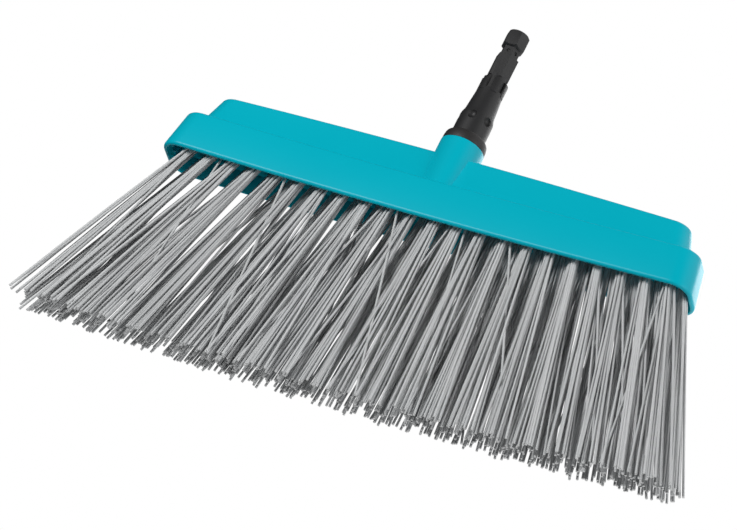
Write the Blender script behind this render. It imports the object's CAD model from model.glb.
import math
import random

import bmesh
import bpy
from mathutils import Matrix, Vector


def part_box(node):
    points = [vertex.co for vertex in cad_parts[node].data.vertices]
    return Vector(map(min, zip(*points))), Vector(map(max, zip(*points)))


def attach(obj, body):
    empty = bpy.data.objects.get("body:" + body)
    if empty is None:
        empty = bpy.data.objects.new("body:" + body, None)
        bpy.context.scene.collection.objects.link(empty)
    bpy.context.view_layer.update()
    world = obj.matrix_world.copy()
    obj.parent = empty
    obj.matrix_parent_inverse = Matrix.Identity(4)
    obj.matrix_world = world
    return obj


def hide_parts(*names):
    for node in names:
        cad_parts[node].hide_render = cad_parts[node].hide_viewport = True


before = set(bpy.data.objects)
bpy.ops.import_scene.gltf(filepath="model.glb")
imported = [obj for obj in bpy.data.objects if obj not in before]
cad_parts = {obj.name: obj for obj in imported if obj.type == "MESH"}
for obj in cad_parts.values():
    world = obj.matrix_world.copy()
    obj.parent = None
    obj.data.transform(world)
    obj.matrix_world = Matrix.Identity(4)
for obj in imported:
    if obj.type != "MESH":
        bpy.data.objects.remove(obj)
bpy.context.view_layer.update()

view = {
    "aim": (-0.0268, 0.0072, 0.1124),
    "azimuth": 23.55,
    "elevation": -26.17,
    "roll": 26.91,
    "distance": 2.936,
    "lens": 207.8,
    "sensor": 36.0,
}

studio = {
    "floorSize": 14.0,
    "floorColour": (0.90, 0.90, 0.89),
    "backLight": 1.0,
    "frontLight": 0.03,
    "brightSide": (0.75, 0.66, 0.0),
    "turnsAt": (-0.20, 0.45),
    "lights": {
        "key": ((-1.55, -3.30, 0.25), 1.5, 119.0),
        "fill": ((3.00, -1.20, 0.40), 1.6, 25.0),
        "top": ((0.30, 0.40, 2.40), 1.8, 4.0),
    },
    "glossCard": ((0.75, 2.70, 1.80), 2.2, 26.0),
    "lightsAim": (0.0, 0.0, 0.12),
}


def makeCamera():
    azimuth = math.radians(view["azimuth"])
    elevation = math.radians(view["elevation"])
    away = Vector((math.sin(azimuth) * math.cos(elevation),
                   -math.cos(azimuth) * math.cos(elevation), math.sin(elevation)))
    place = Vector(view["aim"]) + away * view["distance"]
    level = away.to_track_quat("Z", "Y").to_matrix()
    data = bpy.data.cameras.new("camera")
    data.sensor_width = view["sensor"]
    data.lens = view["lens"]
    data.clip_end = 50.0
    camera = bpy.data.objects.new("camera", data)
    bpy.context.scene.collection.objects.link(camera)
    turned = level @ Matrix.Rotation(math.radians(view["roll"]), 3, "Z")
    camera.matrix_world = Matrix.Translation(place) @ turned.to_4x4()
    bpy.context.scene.camera = camera


makeCamera()
print("camera placed")


def deselectAll():
    if bpy.context.mode != "OBJECT":
        bpy.ops.object.mode_set(mode="OBJECT")
    bpy.ops.object.select_all(action="DESELECT")


def pickOnly(obj):
    deselectAll()
    obj.select_set(True)
    bpy.context.view_layer.objects.active = obj


def named(name):
    obj = bpy.context.object
    obj.name = name
    obj.data.name = name
    bpy.ops.object.transform_apply(location=True, rotation=True, scale=True)
    return obj


def addBox(name, centre, size):
    deselectAll()
    bpy.ops.mesh.primitive_cube_add(size=1, location=centre, scale=size)
    return named(name)


def addCylinder(name, radius, low, high, sides=96, turn=0.0):
    deselectAll()
    bpy.ops.mesh.primitive_cylinder_add(
        vertices=sides, radius=radius, depth=high - low,
        location=(0, 0, (low + high) / 2), rotation=(0, 0, turn))
    return named(name)


def editMode(obj):
    pickOnly(obj)
    bpy.ops.object.mode_set(mode="EDIT")
    bpy.ops.mesh.select_all(action="DESELECT")


def objectMode():
    bpy.ops.object.mode_set(mode="OBJECT")


def selectFaces(obj, test):
    bpy.ops.mesh.select_mode(type="FACE")
    bpy.ops.mesh.select_all(action="DESELECT")
    mesh = bmesh.from_edit_mesh(obj.data)
    for face in mesh.faces:
        face.select = test(face.calc_center_median(), face.normal)
    mesh.select_flush(True)
    bmesh.update_edit_mesh(obj.data)


def selectEdges(obj, test):
    bpy.ops.mesh.select_mode(type="EDGE")
    bpy.ops.mesh.select_all(action="DESELECT")
    mesh = bmesh.from_edit_mesh(obj.data)
    for edge in mesh.edges:
        a, b = edge.verts
        edge.select = test(a.co, b.co)
    bmesh.update_edit_mesh(obj.data)


touching = 0.00001


def upright(a, b):
    return abs(a.z - b.z) > 0.005


def atOrAbove(z):
    return lambda a, b: min(a.z, b.z) > z - touching


def atOrBelow(z):
    return lambda a, b: max(a.z, b.z) < z + touching


def facesUp(centre, normal):
    return normal.z > 0.9


def facesDown(centre, normal):
    return normal.z < -0.9


def bevelSelected(width, segments):
    bpy.ops.mesh.bevel(offset=width, segments=segments, affect="EDGES", clamp_overlap=True)


def applyModifier(obj, kind, **settings):
    pickOnly(obj)
    bpy.ops.object.modifier_add(type=kind)
    modifier = obj.modifiers[-1]
    for key, value in settings.items():
        setattr(modifier, key, value)
    bpy.ops.object.modifier_apply(modifier=modifier.name)


def combine(obj, other, operation="UNION"):
    applyModifier(obj, "BOOLEAN", operation=operation, solver="EXACT", object=other)
    bpy.data.objects.remove(other)


def cleanUp(obj, mergeDistance=0.00001):
    editMode(obj)
    bpy.ops.mesh.select_all(action="SELECT")
    bpy.ops.mesh.remove_doubles(threshold=mergeDistance)
    bpy.ops.mesh.dissolve_degenerate(threshold=mergeDistance)
    bpy.ops.mesh.normals_make_consistent(inside=False)
    objectMode()


def smoothBy(obj, degrees):
    pickOnly(obj)
    bpy.ops.object.shade_smooth_by_angle(angle=math.radians(degrees))


def cutAcross(obj, reach, sections):  # even cuts square to X, from -reach to reach
    editMode(obj)
    for i in range(sections + 1):
        bpy.ops.mesh.select_all(action="SELECT")
        bpy.ops.mesh.bisect(plane_co=(reach * (2 * i / sections - 1), 0, 0), plane_no=(1, 0, 0))
    objectMode()


def bendEnds(obj, height, length, rise):  # lifts both ends of a long piece, about its middle
    deselectAll()
    bpy.ops.object.empty_add(location=(0, 0, height), rotation=(math.pi / 2, 0, 0))
    hinge = bpy.context.object
    bpy.context.view_layer.update()
    arc = 8 * rise / length  # a shallow arc rises by an eighth of its length times its angle
    applyModifier(obj, "SIMPLE_DEFORM", deform_method="BEND", deform_axis="Z",
                  angle=arc, origin=hinge)
    bpy.data.objects.remove(hinge)


class Value:
    def __init__(self, graph, socket):
        self.graph = graph
        self.socket = socket

    def maths(self, operation, first, second):
        return self.graph.node("ShaderNodeMath", {"operation": operation}, {0: first, 1: second})

    def __add__(self, other):
        return self.maths("ADD", self, other)

    def __sub__(self, other):
        return self.maths("SUBTRACT", self, other)

    def __mul__(self, other):
        return self.maths("MULTIPLY", self, other)

    def __rsub__(self, other):
        return self.maths("SUBTRACT", other, self)

    __radd__ = __add__
    __rmul__ = __mul__


class Graph:
    def __init__(self, tree):
        self.tree = tree

    def node(self, kind, settings=None, inputs=None, output=0):
        made = self.tree.nodes.new(kind)
        for key, value in (settings or {}).items():
            if key == "stops":
                ramp = made.color_ramp.elements
                while len(ramp) < len(value):
                    ramp.new(1.0)
                for stop, (place, colour) in zip(ramp, value):
                    stop.position = place
                    stop.color = (*colour, 1.0)
            else:
                setattr(made, key, value)
        for key, value in (inputs or {}).items():
            self.feed(made.inputs[key], value)
        return Value(self, made.outputs[output])

    def feed(self, socket, value):
        if isinstance(value, Value):
            self.tree.links.new(value.socket, socket)
        else:
            socket.default_value = value

    def objectPlace(self):
        return self.node("ShaderNodeTexCoord", output="Object")

    def noise(self, place, scale, detail=2.0, roughness=0.5):
        return self.node("ShaderNodeTexNoise", {"noise_dimensions": "3D"},
                         {"Vector": place, "Scale": scale, "Detail": detail,
                          "Roughness": roughness}, output="Fac")

    def mixColours(self, amount, first, second):
        return self.node("ShaderNodeMix", {"data_type": "RGBA"},
                         {0: amount, 6: (*first, 1.0), 7: (*second, 1.0)}, output=2)

    def bump(self, height, strength, distance):
        return self.node("ShaderNodeBump", None,
                         {"Height": height, "Strength": strength, "Distance": distance},
                         output="Normal")


class Paint(Graph):
    def __init__(self, name):
        self.material = bpy.data.materials.new(name)
        self.material.use_nodes = True
        super().__init__(self.material.node_tree)
        self.shader = self.tree.nodes["Principled BSDF"]

    def set(self, **inputs):
        for key, value in inputs.items():
            self.feed(self.shader.inputs[key.replace("_", " ")], value)


tealLook = {"colour": (0.0, 0.428, 0.540), "deeper": (0.0, 0.400, 0.510),
            "roughness": 0.32, "uneven": 0.06, "cloud": 14.0, "grain": 2600.0}
grainDepth = 0.0002


def makeTeal():
    paint = Paint("tealPlastic")
    place = paint.objectPlace()
    cloud = paint.noise(place, tealLook["cloud"], 3.0)
    grain = paint.noise(place, tealLook["grain"], 2.0)
    colour = paint.mixColours(cloud, tealLook["deeper"], tealLook["colour"])
    paint.set(Base_Color=colour, Roughness=tealLook["roughness"] + cloud * tealLook["uneven"],
              Normal=paint.bump(grain, 0.05, grainDepth), IOR=1.48, Specular_IOR_Level=0.18)
    return paint.material


bristleLook = {"dark": (0.45, 0.46, 0.465), "light": (0.59, 0.60, 0.605),
               "cut": (0.78, 0.79, 0.79), "roughness": 0.42, "uneven": 0.12, "cloud": 90.0,
               "ownShare": 0.8, "cloudShare": 0.2, "cutFacing": -0.8}


def makeBristle():
    paint = Paint("greyMonofilament")
    place = paint.objectPlace()
    each = paint.node("ShaderNodeNewGeometry", output="Random Per Island")
    cloud = paint.noise(place, bristleLook["cloud"], 2.0)
    shade = each * bristleLook["ownShare"] + cloud * bristleLook["cloudShare"]
    body = paint.mixColours(shade, bristleLook["dark"], bristleLook["light"])
    facing = paint.node("ShaderNodeTexCoord", output="Normal")
    down = paint.node("ShaderNodeSeparateXYZ", None, {0: facing}, output="Z")
    cutEnd = paint.node("ShaderNodeMath", {"operation": "LESS_THAN"},
                        {0: down, 1: bristleLook["cutFacing"]})
    colour = paint.node("ShaderNodeMix", {"data_type": "RGBA"},
                        {0: cutEnd, 6: body, 7: (*bristleLook["cut"], 1.0)}, output=2)
    paint.set(Base_Color=colour, IOR=1.5,
              Roughness=bristleLook["roughness"] + cloud * bristleLook["uneven"])
    return paint.material


plugLook = {"colour": (0.012, 0.012, 0.0125), "lighter": (0.020, 0.020, 0.021),
            "roughness": 0.46, "uneven": 0.1, "cloud": 60.0, "grain": 3200.0}
collarLook = {"colour": (0.016, 0.0145, 0.0145), "lighter": (0.025, 0.023, 0.023),
              "roughness": 0.5, "uneven": 0.1, "cloud": 60.0, "grain": 2400.0}
steelLook = {"dark": (0.55, 0.55, 0.56), "light": (0.72, 0.72, 0.73),
             "roughness": 0.28, "uneven": 0.15, "cloud": 400.0}


def makeDark(name, look):
    paint = Paint(name)
    place = paint.objectPlace()
    cloud = paint.noise(place, look["cloud"], 3.0)
    grain = paint.noise(place, look["grain"], 2.0)
    colour = paint.mixColours(cloud, look["colour"], look["lighter"])
    paint.set(Base_Color=colour, Roughness=look["roughness"] + grain * look["uneven"],
              Normal=paint.bump(grain, 0.25, grainDepth), IOR=1.5, Specular_IOR_Level=0.4)
    return paint.material


def makeSteel():
    paint = Paint("zincPlatedSteel")
    place = paint.objectPlace()
    cloud = paint.noise(place, steelLook["cloud"], 3.0)
    colour = paint.mixColours(cloud, steelLook["dark"], steelLook["light"])
    paint.set(Base_Color=colour, Metallic=1.0,
              Roughness=steelLook["roughness"] + cloud * steelLook["uneven"])
    return paint.material


tealPlastic = makeTeal()
greyMonofilament = makeBristle()
plugPlastic = makeDark("plugPlastic", plugLook)
collarPlastic = makeDark("collarPlastic", collarLook)
zincSteel = makeSteel()


def finishPiece(obj, material, slot, *nodes):
    obj.data.materials.clear()
    obj.data.materials.append(material)
    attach(obj, "root")
    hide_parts(*nodes)


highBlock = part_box("brush_block")[1]
lowPlate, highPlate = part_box("bristle_plate")
lowCollar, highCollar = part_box("collar_ring")
lowPlug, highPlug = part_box("coupling_plug")
lowPin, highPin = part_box("stem_pin")

block = {
    "length": 0.404,
    "depth": 0.044,
    "skirtHeight": 0.032,
    "topLength": 0.3954,
    "topDepth": 0.0370,
    "cornerRadius": 0.0155,
    "cornerSteps": 12,
    "wall": 0.003,
    "wallSlant": 0.0015,
    "rimBand": 0.0005,
    "lipRadius": 0.0025,
    "innerLipRadius": 0.0005,
    "ledgeRadius": 0.0022,
    "sag": 0.0028,
    "ridgeLength": 0.3790,
    "ridgeDepth": 0.0265,
    "ridgeTopLength": 0.3572,
    "ridgeTopDepth": 0.020,
    "ridgeHeight": 0.022,
    "ridgeCornerRadius": 0.0120,
    "ridgeEdge": 0.0024,
    "crown": 0.0027,
    "sections": 32,
    "overlap": 0.001,
    "socketRadius": 0.0164,
    "socketEdge": 0.0006,
    "boreRadius": 0.0121,
    "boreBelow": 0.0002,
    "cutPast": 0.01,
    "pinRoom": 0.0001,
    "pinHoleStart": 0.004,
    "pinHoleEnd": 0.03,
    "ribs": 3,
    "ribPitch": 0.007,
    "ribHeight": 0.0085,
    "ribStep": 0.0016,
    "ribWidth": 0.0012,
    "ribEdge": 0.0004,
    "seamRadius": 0.0006,
}
plateRecess = 0.0135
lipHeight = lowPlate.z - plateRecess
ledgeHeight = lipHeight + block["skirtHeight"]


def onRim(z, depthFromOutside):
    corner = block["cornerRadius"]
    coreX, coreY = block["length"] / 2 - corner, block["depth"] / 2 - corner

    def test(point):
        reach = math.hypot(max(abs(point.x) - coreX, 0), max(abs(point.y) - coreY, 0))
        return (abs(point.z - z) < touching
                and abs(reach - corner + depthFromOutside) < block["rimBand"])
    return lambda a, b: test(a) and test(b)


def makeSkirt():
    low = lipHeight - block["sag"]
    high = low + block["skirtHeight"]
    length, depth, wall = block["length"], block["depth"], block["wall"]
    skirt = addBox("block_moulding", (0, 0, (low + high) / 2), (length, depth, high - low))
    editMode(skirt)
    selectEdges(skirt, upright)
    bevelSelected(block["cornerRadius"], block["cornerSteps"])
    selectFaces(skirt, facesUp)
    bpy.ops.transform.resize(value=(block["topLength"] / length, block["topDepth"] / depth, 1),
                             center_override=(0, 0, high))
    selectFaces(skirt, facesDown)
    bpy.ops.mesh.inset(thickness=wall)
    rise = highPlate.z - low
    part = rise / block["skirtHeight"]
    bpy.ops.mesh.extrude_region_move(TRANSFORM_OT_translate={"value": (0, 0, rise)})
    bpy.ops.transform.resize(
        value=(1 - (length - block["topLength"]) * part / (length - 2 * wall),
               1 - (depth - block["topDepth"]) * part / (depth - 2 * wall), 1),
        center_override=(0, 0, highPlate.z))
    selectEdges(skirt, onRim(low, 0))
    bevelSelected(block["lipRadius"], segments=5)
    selectEdges(skirt, onRim(low, wall))
    bevelSelected(block["innerLipRadius"], segments=3)
    selectEdges(skirt, atOrAbove(high))
    bevelSelected(block["ledgeRadius"], segments=4)
    objectMode()
    cutAcross(skirt, length / 2 - block["cornerRadius"], block["sections"])
    bendEnds(skirt, low, length, block["sag"])
    return skirt


def makeRidge():
    low = highPlate.z + block["overlap"]
    high = ledgeHeight + block["ridgeHeight"] + block["crown"]
    length, depth = block["ridgeLength"], block["ridgeDepth"]
    ridge = addBox("ridge", (0, 0, (low + high) / 2), (length, depth, high - low))
    editMode(ridge)
    selectEdges(ridge, upright)
    bevelSelected(block["ridgeCornerRadius"], block["cornerSteps"])
    selectFaces(ridge, facesUp)
    bpy.ops.transform.resize(
        value=(block["ridgeTopLength"] / length, block["ridgeTopDepth"] / depth, 1),
        center_override=(0, 0, high))
    selectEdges(ridge, atOrAbove(high))
    bevelSelected(block["ridgeEdge"], segments=6)
    objectMode()
    cutAcross(ridge, block["ridgeTopLength"] / 2 - block["ridgeCornerRadius"], block["sections"])
    bendEnds(ridge, low, block["ridgeTopLength"], -block["crown"])
    editMode(ridge)
    bpy.ops.mesh.select_all(action="SELECT")
    bpy.ops.mesh.bisect(plane_co=(0, 0, low), plane_no=(0, 0, 1), clear_inner=True, use_fill=True)
    objectMode()
    return ridge


def makeEndRibs(side):
    ribs = []
    wallX = block["length"] / 2 - block["wall"] - block["wallSlant"]
    width = block["ribWidth"]
    for k in range(block["ribs"]):
        y = (k - (block["ribs"] - 1) / 2) * block["ribPitch"]
        rib = addBox("rib", (side * (wallX - width / 2), y, lowPlate.z - block["ribHeight"] / 2),
                     (width + block["ribStep"], width, block["ribHeight"]))
        editMode(rib)
        selectEdges(rib, upright)
        bevelSelected(block["ribEdge"], segments=2)
        objectMode()
        ribs.append(rib)
    return ribs


def makeBlock():
    moulding = makeSkirt()
    combine(moulding, makeRidge())
    socket = addCylinder("socket", block["socketRadius"], highPlate.z + block["overlap"],
                         highBlock.z, sides=128)
    editMode(socket)
    selectEdges(socket, atOrAbove(highBlock.z))
    bevelSelected(block["socketEdge"], segments=3)
    objectMode()
    combine(moulding, socket)
    for side in (-1, 1):
        for rib in makeEndRibs(side):
            combine(moulding, rib)
    bore = addCylinder("bore", block["boreRadius"], lowPlug.z - block["boreBelow"],
                       highBlock.z + block["cutPast"], sides=64)
    combine(moulding, bore, "DIFFERENCE")
    middle = (lowPin.z + highPin.z) / 2
    pinHole = addCylinder("pinHole", (highPin.z - lowPin.z) / 2 + block["pinRoom"],
                          block["pinHoleStart"], block["pinHoleEnd"], sides=32)
    pickOnly(pinHole)
    bpy.ops.transform.rotate(value=math.pi / 2, orient_axis="X", center_override=(0, 0, 0))
    pinHole.location = (0, 0, middle)
    bpy.ops.object.transform_apply(location=True, rotation=True, scale=True)
    if pinHole.data.vertices[0].co.y < 0:
        bpy.ops.transform.mirror(constraint_axis=(False, True, False), center_override=(0, 0, 0))
        bpy.ops.object.transform_apply(location=True, rotation=True, scale=True)
    combine(moulding, pinHole, "DIFFERENCE")
    cleanUp(moulding)
    applyModifier(moulding, "BEVEL", width=block["seamRadius"], segments=2,
                  limit_method="ANGLE", angle_limit=math.radians(50))
    smoothBy(moulding, degrees=32)
    finishPiece(moulding, tealPlastic, "teal_plastic", "brush_block")


makeBlock()
print("block modelled")


bristles = {
    "columns": 22,
    "rootPitch": 0.0168,
    "rootShift": 0.003,
    "rowPitch": 0.0105,
    "rows": ((-1, 0.0), (0, 0.5), (1, 0.0)),
    "rootInset": 0.006,
    "tipPitch": 0.0226,
    "tipShift": -0.00565,
    "tipRowPitch": 0.0118,
    "tipLean": -0.0015,
    "perTuft": 14,
    "thickness": 0.0018,
    "rootRadius": 0.0026,
    "tipRadiusX": 0.0095,
    "tipRadiusY": 0.0052,
    "strayX": 0.0030,
    "strayY": 0.0020,
    "crossing": 0.16,
    "crossingX": 0.0220,
    "limitX": 0.2530,
    "bow": 0.0007,
    "endLift": 0.006,
    "tipGap": 0.0011,
    "cutUnevenness": 0.0006,
    "overlong": 0.04,
    "steps": 4,
    "seed": 100,
    "startTurns": 6.0,
    "turnEach": 2.39996,
}


def filament(curve, root, tip, bow):
    spline = curve.splines.new("POLY")
    steps = bristles["steps"]
    spline.points.add(steps)
    for i, point in enumerate(spline.points):
        t = i / steps
        point.co = (*(root.lerp(tip, t) + bow * math.sin(math.pi * t)), 1.0)


def cutHeight(dice, place):
    share = 2 * place / bristles["columns"]
    gap = dice.uniform(0, bristles["cutUnevenness"])
    if dice.random() > bristles["overlong"]:
        gap += bristles["tipGap"]
    return bristles["endLift"] * share * share + gap


def growTuft(curve, dice, place, row):
    root = Vector((place * bristles["rootPitch"] + bristles["rootShift"],
                   row * bristles["rowPitch"], lowPlate.z + bristles["rootInset"]))
    tipX = place * bristles["tipPitch"] + bristles["tipShift"]
    tipY = row * bristles["tipRowPitch"] + bristles["tipLean"]
    start = dice.uniform(0, bristles["startTurns"])
    for k in range(bristles["perTuft"]):
        angle = k * bristles["turnEach"] + start  # the golden angle spreads a tuft evenly
        reach = math.sqrt((k + 0.5) / bristles["perTuft"])
        across, along = math.cos(angle) * reach, math.sin(angle) * reach
        crosses = dice.random() < bristles["crossing"]
        stray = bristles["crossingX"] if crosses else bristles["strayX"]
        x = tipX + across * bristles["tipRadiusX"] + dice.gauss(0, stray)
        y = tipY + along * bristles["tipRadiusY"] + dice.uniform(-1, 1) * bristles["strayY"]
        if abs(x) > bristles["limitX"]:
            x = math.copysign(2 * bristles["limitX"] - abs(x), x)
        bow = Vector((dice.gauss(0, bristles["bow"]), dice.gauss(0, bristles["bow"]), 0))
        filament(curve, root + Vector((across, along, 0)) * bristles["rootRadius"],
                 Vector((x, y, cutHeight(dice, place))), bow)


def makeTufts(column):
    dice = random.Random(bristles["seed"] + column)
    name = f"tufts_{column + 1:02d}"
    curve = bpy.data.curves.new(name + "_bristles", "CURVE")
    curve.dimensions = "3D"
    curve.bevel_depth = bristles["thickness"] / 2
    curve.bevel_resolution = 2
    curve.use_fill_caps = True
    place = column - (bristles["columns"] - 1) / 2
    for row, stagger in bristles["rows"]:
        growTuft(curve, dice, place + stagger, row)
    piece = bpy.data.objects.new(name + "_bristles", curve)
    bpy.context.scene.collection.objects.link(piece)
    pickOnly(piece)
    bpy.ops.object.convert(target="MESH")
    piece = bpy.context.object
    smoothBy(piece, degrees=62)
    finishPiece(piece, greyMonofilament, "bristle", name)


for column in range(bristles["columns"]):
    makeTufts(column)
print("bristles grown")


plug = {
    "stemRadius": 0.012,
    "stemTop": 0.001,
    "bodyStart": 0.0009,
    "bodyRadius": 0.0125,
    "bodyTop": 0.025,
    "taperLow": 0.0111,
    "taperStart": 0.030,
    "taperHigh": 0.0094,
    "taperTop": 0.0493,
    "coreRadius": 0.0077,
    "coreStep": 0.0005,
    "overlap": 0.001,
    "lugRadius": 0.0098,
    "lugWidth": 0.0052,
    "lugTop": 0.0597,
    "lugBelow": 0.002,
    "lugChamfer": 0.0012,
    "barHeight": 0.055,
    "barSize": 0.03,
    "shankStart": 0.0624,
    "shankFlats": 0.0148,
    "neckStart": 0.0805,
    "neckFlats": 0.0120,
    "headStart": 0.088,
    "headFlats": 0.0152,
    "headFlare": 0.0004,
    "headChamfer": 0.0018,
    "cornerRoom": 0.0001,
    "headCrown": ((0.0024, 0.0), (0.0008, 0.0012), (0.0, 0.0026)),  # down from the top, inwards
    "dimples": 6,
    "dimpleHeight": 0.0227,
    "dimpleRadius": 0.0040,
    "dimpleOut": 0.0017,
    "smallDimpleRadius": 0.0014,
    "smallDimpleOut": 0.0003,
    "smallDimpleDown": 0.0036,
    "edge": 0.00028,
    "edgeAngle": 13,
}
rimHeight = highBlock.z


def turnedBody(name, profile, sides=64):
    (z0, r0), (z1, r1) = profile[0], profile[1]
    body = addCylinder(name, r0, rimHeight + z0, rimHeight + z1, sides)
    editMode(body)
    selectFaces(body, facesUp)
    bpy.ops.transform.resize(value=(r1 / r0, r1 / r0, 1), center_override=(0, 0, rimHeight + z1))
    for (below, old), (above, new) in zip(profile[1:], profile[2:]):
        bpy.ops.mesh.extrude_region_move(
            TRANSFORM_OT_translate={"value": (0, 0, above - below)})
        bpy.ops.transform.resize(value=(new / old, new / old, 1),
                                 center_override=(0, 0, rimHeight + above))
    objectMode()
    return body


def hexPrism(name, flats, low, high):
    return addCylinder(name, flats / 2 / math.cos(math.pi / 6), rimHeight + low,
                       rimHeight + high, 6, math.pi / 6)


def addBall(name, radius, place):
    deselectAll()
    bpy.ops.mesh.primitive_uv_sphere_add(segments=48, ring_count=24, radius=radius, location=place)
    return named(name)


def makeLugs():
    radius, top, chamfer = plug["lugRadius"], plug["lugTop"], plug["lugChamfer"]
    lugs = turnedBody("lugs", [(plug["taperTop"] - plug["lugBelow"], radius),
                               (top - chamfer, radius), (top, radius - chamfer)])
    bars = None
    for k in range(3):  # each bar runs right across and leaves two of the six lugs
        bar = addBox("bar", (0, 0, rimHeight + plug["barHeight"]),
                     (plug["lugWidth"], plug["barSize"], plug["barSize"]))
        pickOnly(bar)
        bar.rotation_euler.z = math.radians(30 + 60 * k)
        bpy.ops.object.transform_apply(location=True, rotation=True, scale=True)
        if bars is None:
            bars = bar
        else:
            combine(bars, bar)
    combine(lugs, bars, "INTERSECT")
    return lugs


def makeHead():
    head = hexPrism("head", plug["headFlats"], plug["headStart"], highPlug.z - rimHeight)
    corner = plug["headFlats"] / 2 / math.cos(math.pi / 6) + plug["cornerRoom"]
    foot = plug["neckFlats"] / 2 + plug["headFlare"]
    top = highPlug.z - rimHeight
    crown = [(top - down, corner - inwards) for down, inwards in plug["headCrown"]]
    chamfer = turnedBody("chamfer", [(plug["headStart"] - plug["overlap"], foot),
                                     (plug["headStart"], foot),
                                     (plug["headStart"] + plug["headChamfer"], corner), *crown])
    combine(head, chamfer, "INTERSECT")
    return head


def makePlug():
    body = turnedBody("plug_moulding", [
        (lowPlug.z - rimHeight, plug["stemRadius"]),
        (highCollar.z - rimHeight - plug["stemTop"], plug["stemRadius"]),
        (highCollar.z - rimHeight - plug["bodyStart"], plug["bodyRadius"]),
        (plug["bodyTop"], plug["bodyRadius"]),
        (plug["taperStart"], plug["taperLow"]),
        (plug["taperTop"], plug["taperHigh"]),
        (plug["taperTop"] + plug["coreStep"], plug["coreRadius"]),
        (plug["shankStart"], plug["coreRadius"])])
    combine(body, makeLugs())
    combine(body, hexPrism("shank", plug["shankFlats"], plug["shankStart"] - plug["overlap"],
                           plug["neckStart"]))
    combine(body, hexPrism("neck", plug["neckFlats"], plug["neckStart"] - plug["overlap"],
                           plug["headStart"] + plug["overlap"]))
    combine(body, makeHead())
    for k in range(plug["dimples"]):
        turn = math.radians(360 / plug["dimples"] * k)
        out = Vector((math.sin(turn), -math.cos(turn), 0))
        big = out * (plug["bodyRadius"] + plug["dimpleOut"])
        big.z = rimHeight + plug["dimpleHeight"]
        combine(body, addBall("dimple", plug["dimpleRadius"], big), "DIFFERENCE")
        small = out * (plug["neckFlats"] / 2 + plug["smallDimpleOut"])
        small.z = rimHeight + plug["headStart"] - plug["smallDimpleDown"]
        combine(body, addBall("dimple", plug["smallDimpleRadius"], small), "DIFFERENCE")
    cleanUp(body, mergeDistance=0.000004)
    applyModifier(body, "BEVEL", width=plug["edge"], segments=2,
                  limit_method="ANGLE", angle_limit=math.radians(plug["edgeAngle"]))
    smoothBy(body, degrees=14)
    finishPiece(body, plugPlastic, "plug_plastic", "coupling_plug")


collar = {
    "inner": 0.0126,
    "outer": 0.0162,
    "halfWay": 0.5,
    "taper": 0.0002,
    "upper": 0.0153,
    "edge": 0.0022,
    "lowerEdge": 0.0003,
    "cutPast": 0.01,
    "sides": 96,
}


def makeCollar():
    low, high = lowCollar.z - rimHeight, highCollar.z - rimHeight
    ring = turnedBody("collar_moulding", [
        (low, collar["outer"]),
        (high * collar["halfWay"], collar["outer"] - collar["taper"]),
        (high, collar["upper"])], collar["sides"])
    editMode(ring)
    selectEdges(ring, atOrAbove(highCollar.z))
    bevelSelected(collar["edge"], segments=6)
    selectEdges(ring, atOrBelow(lowCollar.z))
    bevelSelected(collar["lowerEdge"], segments=2)
    objectMode()
    eye = addCylinder("eye", collar["inner"], lowCollar.z - collar["cutPast"],
                      highCollar.z + collar["cutPast"], collar["sides"])
    combine(ring, eye, "DIFFERENCE")
    cleanUp(ring)
    smoothBy(ring, degrees=32)
    finishPiece(ring, collarPlastic, "collar_plastic", "collar_ring")


makePlug()
makeCollar()
print("plug and collar modelled")


def finishNode(name, material):
    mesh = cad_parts[name].data
    mesh.materials.clear()
    mesh.materials.append(material)


finishNode("bristle_plate", tealPlastic)
for name in ("plate_screws", "anchors_front", "anchors_middle", "anchors_rear", "stem_pin"):
    finishNode(name, zincSteel)


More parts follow.
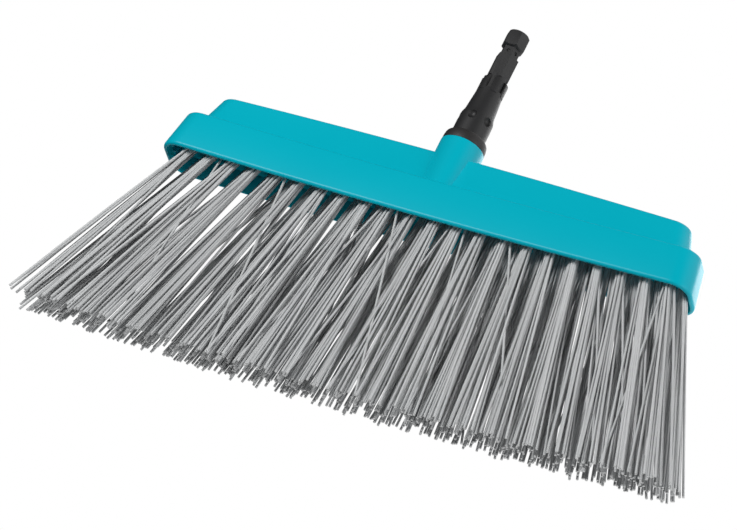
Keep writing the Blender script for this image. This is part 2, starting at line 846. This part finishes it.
def makeFloor():
    deselectAll()
    bpy.ops.mesh.primitive_plane_add(size=studio["floorSize"], location=(0, 0, 0))
    floor = bpy.context.object
    floor.name = "floor"
    paint = Paint("floorPaper")
    paint.set(Base_Color=(*studio["floorColour"], 1.0), Roughness=0.9)
    clear = paint.node("ShaderNodeBsdfTransparent")
    facing = paint.node("ShaderNodeNewGeometry", output="Backfacing")
    mixed = paint.node("ShaderNodeMixShader", None,
                       {0: facing, 1: Value(paint, paint.shader.outputs[0]), 2: clear})
    paint.feed(paint.tree.nodes["Material Output"].inputs["Surface"], mixed)
    floor.data.materials.append(paint.material)
    floor.visible_diffuse = False  # the floor takes shadows but doesn't light the piece from below
    floor.visible_glossy = False
    floor.visible_transmission = False
    floor.visible_shadow = False


def makeLight(name, place, size, power):
    data = bpy.data.lights.new(name, "AREA")
    data.shape = "DISK"
    data.size = size
    data.energy = power
    light = bpy.data.objects.new(name, data)
    bpy.context.scene.collection.objects.link(light)
    light.location = place
    light.visible_camera = False
    aim = Vector(studio["lightsAim"]) - Vector(place)
    light.rotation_euler = aim.to_track_quat("-Z", "Y").to_euler()
    return light


def makeWorld():  # white all round for the camera; for light, bright behind right and dim in front
    world = bpy.data.worlds.new("studioWorld")
    bpy.context.scene.world = world
    world.use_nodes = True
    graph = Graph(world.node_tree)
    background = graph.tree.nodes["Background"]
    background.inputs["Color"].default_value = (1, 1, 1, 1)
    direction = graph.node("ShaderNodeTexCoord", output="Generated")
    across = graph.node("ShaderNodeVectorMath", {"operation": "DOT_PRODUCT"},
                        {0: direction, 1: studio["brightSide"]}, output="Value")
    low, high = studio["turnsAt"]
    glow = graph.node("ShaderNodeMapRange", {"interpolation_type": "SMOOTHSTEP"},
                      {"Value": across, "From Min": low, "From Max": high,
                       "To Min": studio["frontLight"], "To Max": studio["backLight"]})
    seen = graph.node("ShaderNodeLightPath", output="Is Camera Ray")
    graph.feed(background.inputs["Strength"], seen + (1 - seen) * glow)


makeFloor()
makeWorld()
for lightName, (place, size, power) in studio["lights"].items():
    makeLight(lightName, place, size, power)
makeLight("glossCard", *studio["glossCard"]).visible_diffuse = False
bpy.context.scene.view_settings.view_transform = "Standard"
print("studio lit")
